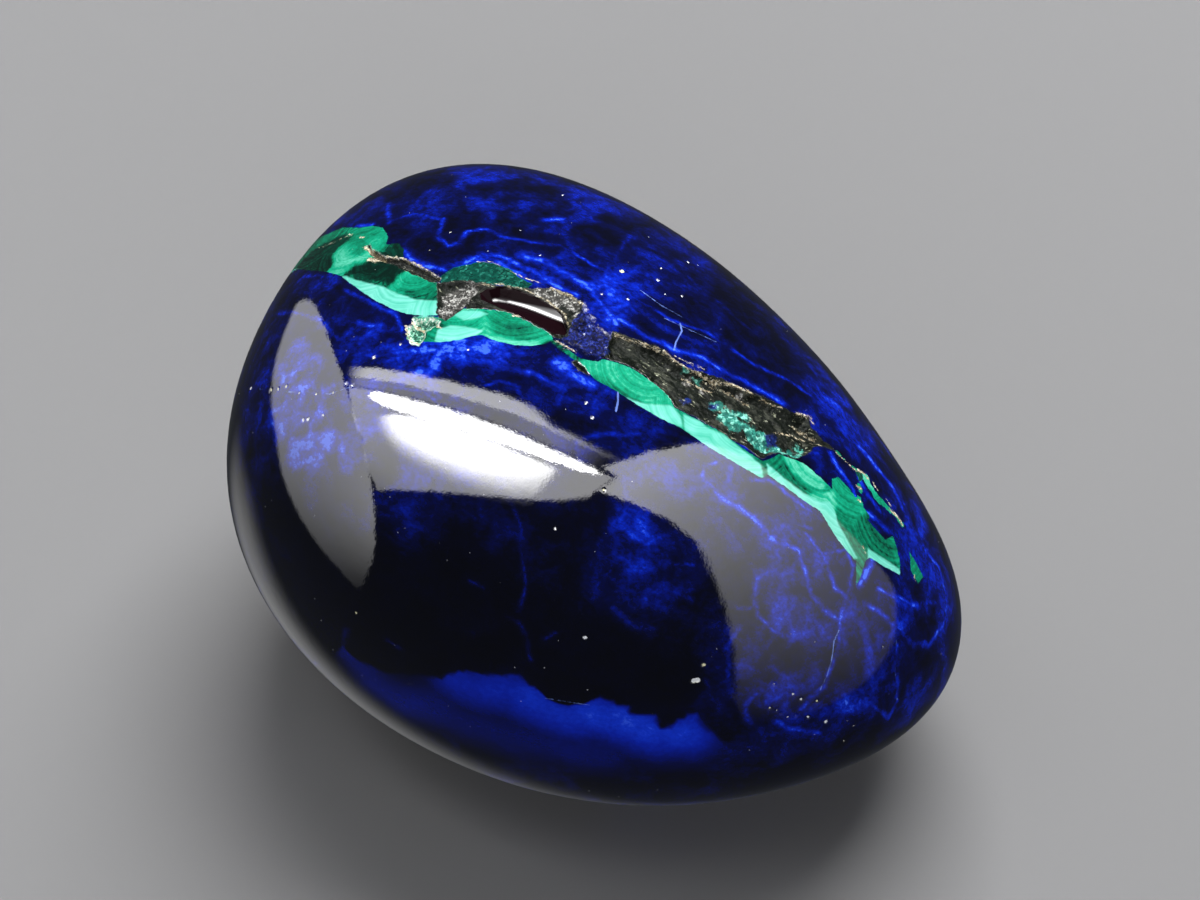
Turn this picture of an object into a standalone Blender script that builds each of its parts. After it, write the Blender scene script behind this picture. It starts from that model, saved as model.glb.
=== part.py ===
"""A polished tumbled stone of azurite, with a seam of malachite and its open fissures along the top.

The stone grew and was tumbled as one piece, so it is one solid. It lies on its belly: +X runs along
its length towards the narrow end, +Z is up, and the origin is under its middle on the surface.
"""

import math

import bmesh
import bpy
from mathutils import Vector
from mathutils.bvhtree import BVHTree

MM = 0.001

# The tumbled form: the soft meeting of its worn sides. Each side has a heading and a slope in degrees,
# and its distance from the stone's heart in millimetres.
WORN_SIDES = {
    "narrow end": (0, 0, 30.0),
    "narrow end, upper front": (-45, 38, 15.0),
    "narrow end, upper back": (45, 38, 16.5),
    "narrow end, lower front": (-45, -38, 18.0),
    "narrow end, lower back": (45, -38, 25.0),
    "front": (-90, 0, 14.5),
    "back": (90, 0, 17.0),
    "top": (0, 90, 14.0),
    "belly": (0, -90, 12.5),
    "blunt end": (180, 0, 23.5),
    "blunt end, upper front": (-135, 38, 18.0),
    "blunt end, upper back": (135, 38, 27.0),
    "blunt end, lower front": (-135, -38, 19.0),
    "blunt end, lower back": (135, -38, 22.0),
}
SIDE_MEETING = 3.8  # how squarely the sides meet: 2 is nearly round, 8 nearly faceted
BELLY_FLAT = 0.25  # how much of the belly is worn off flat, where the stone rests
SURFACE_STEPS = 5  # subdivisions of the ball that the form is drawn on

# The open places along the malachite seam, as (x, y, half width) in plan, and each one's depth.
FISSURES = {
    "blunt_end_crack": {
        "depth": 0.30,
        "route": [(-13.9, 0.8, 0.12), (-13.3, 0.3, 0.30), (-11.9, -0.2, 0.28), (-10.2, -0.5, 0.26),
                  (-8.6, -0.8, 0.34), (-7.4, -1.2, 0.30)],
    },
    "crumbled_junction": {
        "depth": 0.45,
        "route": [(-8.3, -1.7, 0.15), (-7.7, -1.6, 0.60), (-6.9, -1.5, 0.95), (-6.1, -1.2, 0.80),
                  (-5.2, -0.7, 0.30)],
    },
    "glossy_scoop": {
        "depth": 0.70,
        "route": [(-5.7, -0.9, 0.15), (-5.1, -0.8, 0.50), (-4.2, -0.7, 0.80), (-3.0, -0.6, 0.95),
                  (-1.8, -0.7, 0.85), (-1.1, -0.9, 0.50), (-0.7, -1.0, 0.15)],
    },
    "scoop_shoulder": {
        "depth": 0.30,
        "route": [(-3.4, 0.5, 0.15), (-2.8, 0.5, 0.40), (-1.5, 0.5, 0.60), (-0.2, 0.2, 0.75),
                  (0.9, -0.3, 0.80), (2.4, -0.5, 0.60)],
    },
    "main_fissure": {
        "depth": 0.55,
        "route": [(1.6, -0.4, 0.20), (2.1, -0.3, 0.75), (3.2, 0.1, 0.95), (4.8, 0.1, 0.90),
                  (6.4, 0.3, 0.85), (8.1, 0.7, 0.95), (9.8, 1.2, 1.00), (11.2, 2.0, 0.90),
                  (12.3, 2.9, 0.55), (13.1, 3.5, 0.15)],
    },
    "lower_pit": {
        "depth": 0.30,
        "route": [(-7.5, -4.1, 0.20), (-7.1, -4.1, 0.55), (-6.5, -4.1, 0.65), (-6.0, -3.9, 0.45),
                  (-5.7, -3.8, 0.15)],
    },
}
ROUTE_STEP = 0.6  # spacing of the points along a fissure
FINEST = 0.12  # smallest half width that a fissure is cut to
STEEPEST = 0.8  # greatest depth of a fissure, as a share of its half width
TUBE_QUARTER = 4  # bevel resolution of a fissure's cutter
ABOVE = 0.1  # a height in metres clear of the whole stone


def direction(heading, slope):
    heading, slope = math.radians(heading), math.radians(slope)
    level = math.cos(slope)
    return Vector((math.cos(heading) * level, math.sin(heading) * level, math.sin(slope)))


SIDE_TABLE = [(direction(heading, slope), far) for heading, slope, far in WORN_SIDES.values()]


def reach(toward):
    """Distance in millimetres from the stone's heart to its polished surface in a direction."""
    total = sum((max(0.0, toward.dot(normal)) / far) ** SIDE_MEETING for normal, far in SIDE_TABLE)
    return total ** (-1 / SIDE_MEETING)


def link(obj, collection):
    collection.objects.link(obj)
    return obj


def azurite_material():
    material = bpy.data.materials.new("azurite")
    material.use_nodes = True
    shader = material.node_tree.nodes["Principled BSDF"]
    shader.inputs["Base Color"].default_value = (0.010, 0.016, 0.160, 1.0)
    shader.inputs["Roughness"].default_value = 0.06
    shader.inputs["Metallic"].default_value = 0.0
    shader.inputs["IOR"].default_value = 1.75
    return material


def tumbled_form():
    """The polished stone before its fissures, flat on the belly and standing on the origin."""
    form = bmesh.new()
    bmesh.ops.create_icosphere(form, subdivisions=SURFACE_STEPS, radius=1.0)
    for vertex in form.verts:
        toward = vertex.co.normalized()
        vertex.co = toward * reach(toward)
    belly = min(vertex.co.z for vertex in form.verts) + BELLY_FLAT
    cut = bmesh.ops.bisect_plane(
        form, geom=form.verts[:] + form.edges[:] + form.faces[:], dist=1e-6,
        plane_co=(0, 0, belly), plane_no=(0, 0, -1), clear_outer=True,
    )
    rim = [part for part in cut["geom_cut"] if isinstance(part, bmesh.types.BMEdge)]
    bmesh.ops.contextual_create(form, geom=rim)
    spread = [sorted(vertex.co[axis] for vertex in form.verts) for axis in range(2)]
    middle = Vector([(values[0] + values[-1]) / 2 for values in spread] + [belly])
    for vertex in form.verts:
        vertex.co = (vertex.co - middle) * MM
    bmesh.ops.recalc_face_normals(form, faces=form.faces)
    mesh = bpy.data.meshes.new("azurite_stone")
    form.to_mesh(mesh)
    form.free()
    return bpy.data.objects.new("azurite_stone", mesh)


def smooth_route(points):
    """Points every ROUTE_STEP or so on a Catmull-Rom curve through a fissure's own points."""
    ends = [points[0], *points, points[-1]]
    route = []
    for before, start, end, after in zip(ends, ends[1:], ends[2:], ends[3:]):
        steps = max(1, round((end.xy - start.xy).length / ROUTE_STEP))
        for step in range(steps):
            t = step / steps
            route.append(0.5 * (2 * start + (end - before) * t
                                + (2 * before - 5 * start + 4 * end - after) * t * t
                                + (3 * start - before - 3 * end + after) * t ** 3))
    return route + [points[-1]]


def fissure_cutter(name, depth, route, skin, collection):
    """A tube lying along the surface, whose underside is the bottom of the fissure."""
    curve = bpy.data.curves.new(name, "CURVE")
    curve.dimensions = "3D"
    curve.bevel_depth = MM
    curve.bevel_resolution = TUBE_QUARTER
    curve.use_fill_caps = True
    spline = curve.splines.new("POLY")
    stations = smooth_route([Vector(point) for point in route])
    spline.points.add(len(stations) - 1)
    for point, (x, y, half_width) in zip(spline.points, stations):
        half_width = max(half_width, FINEST)
        deep = min(depth, half_width * STEEPEST)
        radius = (half_width ** 2 + deep ** 2) / (2 * deep)
        spot, normal, _, _ = skin.ray_cast(Vector((x * MM, y * MM, ABOVE)), Vector((0, 0, -1)))
        point.co = (*(spot + normal * (radius - deep) * MM), 1.0)
        point.radius = radius
    tube = bpy.data.objects.new(name, curve)
    bpy.context.scene.collection.objects.link(tube)
    graph = bpy.context.evaluated_depsgraph_get()
    mesh = bpy.data.meshes.new_from_object(tube.evaluated_get(graph))
    shell = bmesh.new()
    shell.from_mesh(mesh)
    bmesh.ops.remove_doubles(shell, verts=shell.verts, dist=1e-6)
    bmesh.ops.recalc_face_normals(shell, faces=shell.faces)
    shell.to_mesh(mesh)
    shell.free()
    cutter = link(bpy.data.objects.new(name + "_cutter", mesh), collection)
    cutter.matrix_world = tube.matrix_world
    cutter.hide_render = True
    cutter.display_type = "WIRE"
    bpy.data.objects.remove(tube)
    return cutter


def build():
    for obj in list(bpy.data.objects):
        bpy.data.objects.remove(obj)
    part = bpy.data.collections.new("azurite_specimen")
    cutters = bpy.data.collections.new("cutters")
    for collection in (part, cutters):
        bpy.context.scene.collection.children.link(collection)
    stone = link(tumbled_form(), part)
    stone.data.materials.append(azurite_material())
    stone.data.shade_smooth()
    skin = BVHTree.FromPolygons([vertex.co for vertex in stone.data.vertices],
                                [face.vertices for face in stone.data.polygons])
    for name, fissure in FISSURES.items():
        cut = stone.modifiers.new(name, "BOOLEAN")
        cut.operation = "DIFFERENCE"
        cut.solver = "EXACT"
        cut.object = fissure_cutter(name, fissure["depth"], fissure["route"], skin, cutters)
    stone.data.set_sharp_from_angle(angle=math.radians(30))


build()
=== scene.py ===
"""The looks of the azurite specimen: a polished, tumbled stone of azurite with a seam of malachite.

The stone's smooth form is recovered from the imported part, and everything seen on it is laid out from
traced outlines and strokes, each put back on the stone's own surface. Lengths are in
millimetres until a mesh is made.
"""

import math

import bmesh
import bpy
import numpy as np
from mathutils import Euler, Matrix, Vector, noise
from mathutils.bvhtree import BVHTree

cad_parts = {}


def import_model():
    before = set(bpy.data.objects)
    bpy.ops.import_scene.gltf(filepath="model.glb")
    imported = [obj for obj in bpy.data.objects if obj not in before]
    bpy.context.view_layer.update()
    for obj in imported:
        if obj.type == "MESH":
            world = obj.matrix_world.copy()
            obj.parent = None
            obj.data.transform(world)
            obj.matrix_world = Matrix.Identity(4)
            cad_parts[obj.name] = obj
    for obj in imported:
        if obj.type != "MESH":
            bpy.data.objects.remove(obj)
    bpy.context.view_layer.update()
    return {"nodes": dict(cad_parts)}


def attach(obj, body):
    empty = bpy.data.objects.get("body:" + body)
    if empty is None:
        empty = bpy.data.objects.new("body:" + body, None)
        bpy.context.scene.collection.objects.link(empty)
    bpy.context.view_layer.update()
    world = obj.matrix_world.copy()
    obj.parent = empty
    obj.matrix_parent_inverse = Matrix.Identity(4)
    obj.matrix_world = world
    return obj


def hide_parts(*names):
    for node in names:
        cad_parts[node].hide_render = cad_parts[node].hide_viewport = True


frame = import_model()

MM = 0.001
NODE = "azurite_stone"

# The view: the photograph's frame is 1200 by 900 pixels.
FRAME_WIDTH, FRAME_HEIGHT = 1200, 900
VIEW_AZIMUTH, VIEW_ELEVATION = 32.0, 46.0
VIEW_DISTANCE = 150.0
VIEW_TARGET = (1.2, -0.35, 16.87)
PIXELS_PER_MM = 19.3  # at the target
SENSOR = 36.0

# ---------------------------------------------------------------- the seam, traced in pixels

MALACHITE = {
    "blunt end": [
        (292, 269), (299, 261), (304, 255), (313, 243), (328, 234), (342, 228), (359, 228), (372, 226),
        (383, 228), (388, 236), (386, 245), (398, 243), (404, 250), (403, 257), (407, 262), (413, 273),
        (431, 281), (438, 283), (438, 315), (424, 316), (407, 314), (394, 310), (376, 301), (361, 291),
        (350, 283), (341, 276), (327, 272), (311, 271), (296, 270),
    ],
    "middle": [
        (413, 317), (424, 316), (438, 317), (447, 316), (453, 311), (468, 308), (484, 309), (504, 311),
        (521, 318), (537, 326), (551, 334), (553, 339), (545, 344), (531, 346), (515, 345), (496, 341),
        (482, 335), (472, 336), (460, 340), (443, 342), (426, 342), (417, 340), (412, 330),
    ],
    "link": [(548, 339), (556, 341), (566, 348), (575, 355), (584, 361), (580, 363), (570, 357), (558, 348)],
    "narrow end": [
        (577, 358), (587, 360), (598, 362), (602, 359), (618, 363), (633, 369), (645, 377), (656, 385),
        (664, 391), (671, 398), (672, 403), (675, 408), (691, 416), (705, 424), (722, 432), (732, 440),
        (746, 451), (762, 461), (771, 459), (779, 454), (787, 457), (803, 463), (813, 471), (824, 481),
        (832, 489), (832, 479), (838, 477), (844, 483), (854, 495), (860, 510), (871, 524), (885, 540),
        (893, 536), (897, 549), (900, 565), (900, 575), (885, 567), (869, 557), (865, 561), (860, 578),
        (856, 585), (856, 561), (852, 557), (838, 540), (828, 524), (820, 511), (803, 500), (783, 485),
        (768, 475), (762, 478), (742, 467), (722, 455), (701, 442), (681, 428), (660, 418), (641, 407),
        (627, 398), (618, 392), (607, 386), (596, 380), (587, 371),
    ],
    "last fleck": [(909, 551), (915, 561), (923, 577), (918, 583), (911, 571)],
}
MINT = {
    "blunt end": [
        (345, 276), (355, 280), (366, 283), (383, 287), (398, 294), (416, 300), (438, 301), (438, 316),
        (424, 317), (407, 315), (394, 311), (376, 302), (361, 292), (350, 284), (341, 277),
    ],
    "middle left": [
        (438, 330), (450, 326), (466, 327), (482, 331), (474, 337), (458, 341), (440, 343), (435, 341),
    ],
    "middle, upper left": [(454, 315), (463, 311), (477, 311), (488, 314), (477, 318), (464, 320)],
    "narrow end, first": [
        (627, 398), (640, 403), (656, 405), (671, 406), (675, 410), (680, 416), (682, 427), (660, 420),
        (641, 409),
    ],
    "narrow end, second": [
        (684, 415), (701, 422), (707, 428), (722, 434), (732, 442), (746, 453), (760, 464), (764, 480),
        (742, 469), (722, 457), (701, 444), (685, 430),
    ],
    "narrow end, third": [
        (767, 464), (787, 481), (803, 493), (820, 502), (830, 502), (834, 510), (838, 524), (848, 542),
        (857, 558), (852, 559), (838, 542), (827, 526), (819, 513), (803, 502), (783, 487), (769, 477),
    ],
    "narrow end, last": [(868, 549), (881, 557), (899, 569), (901, 577), (885, 569), (868, 559)],
}
GRANULAR = {  # dark green grains, the ends of the malachite's needles
    "over the junction": [
        (441, 276), (453, 268), (468, 265), (479, 262), (494, 263), (509, 269), (521, 278), (533, 284),
        (523, 291), (500, 286), (476, 285), (455, 284), (440, 284),
    ],
    "right flecks, upper": [(856, 471), (861, 472), (863, 480), (859, 483)],
}
FLECKS = [  # crumbs of green along the seam's last cracks: (half width in mm, line)
    (0.05, [(836, 451), (846, 461), (857, 471)]),
    (0.24, [(866, 479), (870, 486), (875, 495)]),
    (0.19, [(876, 496), (883, 503), (890, 510)]),
    (0.14, [(859, 485), (861, 491)]),
    (0.20, [(858, 500), (861, 507), (865, 514)]),
    (0.12, [(893, 513), (898, 519), (902, 525)]),
]
FISSURE = {  # open and rough, down to the dark matrix
    "crack": [
        (368, 244), (373, 250), (386, 257), (402, 259), (411, 262), (427, 271), (441, 278), (441, 282),
        (431, 282), (411, 273), (394, 265), (376, 260), (367, 251),
    ],
    "junction": [
        (436, 283), (449, 281), (468, 280), (480, 282), (490, 286), (474, 296), (466, 306), (456, 313),
        (446, 321), (438, 318), (436, 302), (437, 290),
    ],
    "scoop rim": [
        (476, 283), (496, 284), (513, 287), (529, 288), (551, 287), (570, 294), (582, 302), (580, 310),
        (572, 318), (569, 334), (556, 338), (551, 334), (537, 326), (521, 318), (504, 311), (484, 309),
        (466, 309), (464, 298), (470, 290),
    ],
    "main": [
        (613, 331), (627, 336), (645, 342), (662, 348), (671, 357), (684, 365), (702, 372), (722, 379),
        (742, 388), (762, 396), (783, 408), (799, 414), (809, 418), (811, 426), (824, 440), (836, 451),
        (824, 446), (815, 447), (806, 455), (795, 459), (785, 455), (779, 453), (762, 458), (742, 444),
        (732, 439), (722, 431), (705, 423), (691, 415), (675, 407), (671, 398), (664, 391), (656, 384),
        (645, 376), (633, 368), (618, 362), (602, 358), (608, 345),
    ],
    "notch": [(570, 361), (577, 360), (585, 369), (589, 375), (578, 369)],
}
SUGARY = {  # finely rough and dark blue with pale painted sparkles, hardly sunk
    "beside the scoop": [
        (560, 322), (572, 306), (584, 302), (592, 313), (604, 327), (616, 333), (616, 358), (600, 362),
        (588, 357), (575, 351), (562, 344), (554, 338),
    ],
}
SCOOP = {
    "scoop": [
        (479, 292), (488, 287), (500, 286), (513, 288), (527, 292), (541, 298), (555, 305), (562, 310),
        (568, 324), (564, 333), (552, 332), (535, 323), (515, 313), (495, 304), (481, 298),
    ],
}
SCOOP_SIDES = {  # the lines that its two sides slope down from
    "far": [(479, 292), (488, 287), (500, 286), (513, 288), (527, 292), (541, 297), (556, 303), (576, 311)],
    "near": [(572, 335), (552, 332), (535, 323), (515, 313), (495, 304), (481, 298), (479, 292)],
}
SCOOP_SHINE = [(0.16, [(494, 295), (508, 298)]), (0.24, [(508, 298), (530, 303), (548, 308), (568, 314)])]
LOWER_PIT = {
    "lower pit": [
        (405, 327), (411, 324), (413, 318), (424, 319), (433, 318), (442, 320), (441, 327), (432, 329),
        (426, 331), (424, 338), (418, 343), (411, 341), (407, 334),
    ],
}
# Where the malachite is dark, middling or light: (darkness 0 to lightness 1, half width in mm, line)
GREENS = [
    (0.10, 0.60, [(306, 266), (316, 260), (328, 252), (336, 246)]),
    (0.04, 0.45, [(314, 267), (324, 265)]),
    (0.42, 0.30, [(308, 252), (318, 243), (330, 236), (344, 231)]),
    (0.50, 0.35, [(356, 231), (372, 231)]),
    (0.62, 0.35, [(378, 240), (382, 246)]),
    (0.88, 0.40, [(341, 250), (344, 258), (350, 262), (360, 260)]),
    (0.50, 0.35, [(352, 248), (358, 252)]),
    (0.75, 0.30, [(336, 268), (346, 268)]),
    (0.02, 0.45, [(356, 269), (372, 271), (388, 272)]),
    (0.02, 0.30, [(374, 265), (392, 270)]),
    (0.02, 0.40, [(362, 275), (376, 278), (388, 279)]),
    (0.45, 0.15, [(352, 276), (368, 280), (384, 284)]),
    (0.10, 0.40, [(392, 248), (400, 253)]),
    (0.72, 0.25, [(396, 284), (402, 278), (408, 276)]),
    (0.55, 0.45, [(408, 284), (420, 288)]),
    (0.34, 0.40, [(424, 292), (434, 294)]),
    (0.25, 0.20, [(410, 293), (424, 298), (436, 299)]),
    (0.70, 0.45, [(458, 319), (472, 322), (482, 326)]),
    (0.42, 0.45, [(500, 322), (518, 327), (536, 334)]),
    (0.55, 0.20, [(488, 311), (506, 315), (524, 322), (542, 331)]),
    (0.24, 0.22, [(512, 326), (524, 330)]),
    (0.30, 0.20, [(556, 344), (568, 351), (578, 357)]),
    (0.68, 0.80, [(598, 370), (620, 376), (645, 388), (662, 398)]),
    (0.30, 0.25, [(596, 378), (612, 388), (634, 400)]),
    (0.66, 0.35, [(624, 368), (642, 378), (658, 392)]),
    (0.55, 0.30, [(680, 412), (700, 421), (724, 434)]),
    (0.84, 0.50, [(800, 470), (812, 478), (822, 490)]),
    (0.95, 0.22, [(806, 466), (815, 473)]),
    (0.26, 0.14, [(786, 468), (794, 478), (806, 487), (820, 492), (829, 488)]),
    (0.92, 0.16, [(486, 338), (500, 342), (520, 345), (538, 342), (551, 337)]),
    (0.60, 0.30, [(543, 333), (551, 336)]),
    (0.12, 0.30, [(550, 343), (560, 347)]),
    (0.10, 0.30, [(413, 334), (421, 335)]),
    (0.48, 0.35, [(428, 335), (436, 336)]),
    (0.40, 0.20, [(420, 317), (436, 318)]),
    (0.26, 0.25, [(433, 322), (441, 323)]),
    (0.44, 0.18, [(446, 323), (460, 323), (476, 325)]),
    (0.36, 0.35, [(776, 464), (786, 474), (800, 488)]),
    (0.54, 0.30, [(838, 486), (846, 504), (850, 520)]),
    (0.38, 0.35, [(848, 520), (858, 536), (864, 548)]),
    (0.32, 0.45, [(872, 530), (884, 543), (890, 548)]),
    (0.50, 0.25, [(892, 538), (898, 556)]),
    (0.86, 0.20, [(867, 479), (872, 488)]),
    (0.55, 0.25, [(874, 494), (883, 503), (892, 512)]),
    (0.60, 0.20, [(859, 500), (862, 507)]),
    (0.42, 0.22, [(863, 556), (860, 572), (857, 584)]),
    (0.45, 0.20, [(912, 560), (918, 577)]),
]
# Centres that the bands grew out from, and how far each one's first band lies from it in mm.
GROWTH_CENTRES = [
    ((325, 238), 0.0), ((351, 250), 0.25), ((374, 244), 0.1), ((418, 272), 0.2), ((376, 262), 0.3),
    ((459, 306), 0.1), ((520, 300), -0.3), ((648, 366), 0.2), ((700, 404), -0.2), ((742, 424), -0.4),
    ((818, 456), 0.2), ((852, 470), -0.3), ((888, 518), 0.0),
]

# Past the photograph's edge of the stone the seam runs on down the blunt end and dies out there. These
# outlines are in mm on the unrolled stone: along from the top (towards the narrow end), and across.
BLUNT_END_RUN = {
    "run": [
        (-17.5, -0.6), (-19.6, 0.1), (-21.6, 0.6), (-23.4, 0.8), (-25.2, 1.4), (-27.2, 1.8), (-29.0, 2.5),
        (-31.2, 3.0), (-29.4, 3.2), (-27.4, 2.9), (-25.8, 3.1), (-23.8, 2.7), (-21.8, 2.8), (-19.6, 2.3),
        (-17.5, 1.8),
    ],
    "outlier": [(-32.4, 3.3), (-33.4, 3.5), (-34.3, 4.1), (-33.3, 4.2)],
}
BLUNT_END_MINT = {
    "run": [
        (-19.4, 0.0), (-21.6, 0.5), (-23.4, 0.7), (-25.2, 1.3), (-27.2, 1.7), (-28.6, 2.3), (-27.0, 2.3),
        (-25.2, 1.9), (-23.4, 1.4), (-21.6, 1.0),
    ],
}
BLUNT_END_CRACK = {
    "run": [
        (-20.6, 2.0), (-22.0, 2.15), (-23.6, 2.0), (-25.4, 2.4), (-27.4, 2.6), (-25.6, 2.6), (-23.6, 2.3),
        (-22.0, 2.45), (-20.6, 2.2),
    ],
}

# ---------------------------------------------------------------- what lies in the fissures

CREAM_RIMS_AND_RIM_HIGHLIGHT = [  # crumbly cream and gold edges, and a painted highlight along the scoop's far rim: (half width in mm, line)
    (0.12, [(365, 247), (372, 252), (383, 259), (377, 261), (368, 259)]),
    (0.04, [(386, 257), (402, 258), (412, 262), (427, 270), (440, 278)]),
    (0.03, [(404, 268), (422, 277), (440, 283)]),
    (0.02, [(304, 255), (320, 248), (335, 242), (350, 235)]),
    (0.05, [(349, 234), (352, 235)]),
    (0.05, [(360, 237), (363, 238)]),
    # A painted highlight: a thin pale line along the scoop's far rim, where the rim would mirror the light.
    (0.03, [(478, 284), (498, 284), (514, 287), (530, 290)]),
    (0.05, [(551, 288), (570, 295), (582, 303)]),
    (0.015, [(476, 262), (492, 262), (505, 268), (522, 277), (540, 283)]),
    (0.04, [(615, 333), (628, 338), (646, 344), (660, 349)]),
    (0.05, [(664, 351), (674, 360), (688, 368), (704, 375), (718, 381)]),
    (0.035, [(676, 356), (690, 364), (704, 369)]),
    (0.04, [(684, 374), (700, 382), (716, 388)]),
    (0.05, [(718, 380), (736, 386), (754, 394)]),
    (0.03, [(706, 378), (722, 386), (738, 393), (752, 400)]),
    (0.03, [(762, 398), (782, 408)]),
    (0.06, [(797, 413), (810, 417), (813, 424)]),
    (0.035, [(779, 428), (796, 431), (812, 438), (822, 445)]),
    (0.04, [(797, 422), (808, 430), (818, 438)]),
    (0.06, [(406, 326), (407, 334), (411, 341), (419, 343)]),
    (0.09, [(412, 323), (418, 326), (424, 329)]),
    (0.05, [(437, 326), (442, 329)]),
    (0.03, [(556, 341), (566, 346), (577, 353)]),
    # The painted highlight goes on along the rest of the scoop's far rim.
    (0.03, [(530, 291), (544, 297), (556, 304), (565, 313), (569, 323)]),
    (0.07, [(514, 315), (524, 316)]),
    (0.07, [(858, 470), (865, 475), (868, 479)]),
    (0.035, [(873, 483), (877, 490)]),
    (0.04, [(886, 499), (890, 505)]),
    (0.08, [(890, 510), (897, 516), (902, 524)]),
    (0.05, [(856, 486), (861, 489)]),
    (0.04, [(858, 500), (862, 503)]),
    (0.03, [(836, 452), (846, 462), (856, 471)]),
    (0.04, [(863, 546), (865, 552)]),
    (0.04, [(914, 576), (915, 580)]),
]
TEAL_CRYSTALS = [  # (radius in mm, centre)
    (0.55, (740, 420)), (0.45, (754, 428)), (0.40, (748, 412)), (0.35, (802, 446)), (0.25, (770, 446)),
    (0.25, (700, 378)), (0.20, (686, 368)), (0.20, (470, 312)), (0.60, (731, 413)), (0.65, (764, 437)),
    (0.50, (780, 448)), (0.45, (720, 402)), (0.35, (795, 452)),
]
# Blue crystals in the fissures, dark navy to blue, with a painted glint as their palest colour: (radius in
# mm, centre)
BLUE_CRYSTALS_AND_GLINTS = [
    (0.45, (776, 437)), (0.60, (592, 335)), (0.45, (582, 322)), (0.40, (603, 347)), (0.25, (716, 402)),
    (0.30, (690, 396)),
]
GRITTY_AND_GLITTER = [  # lighter, crumbling matrix, its palest grains a painted glitter: (radius in mm, centre)
    (0.85, (456, 296)), (0.50, (470, 287)), (0.50, (447, 308)), (0.75, (556, 295)), (0.50, (540, 291)),
    (0.50, (572, 303)), (0.35, (578, 314)), (0.30, (690, 378)), (0.25, (706, 386)), (0.30, (742, 392)),
]

# ---------------------------------------------------------------- the azurite

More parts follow.
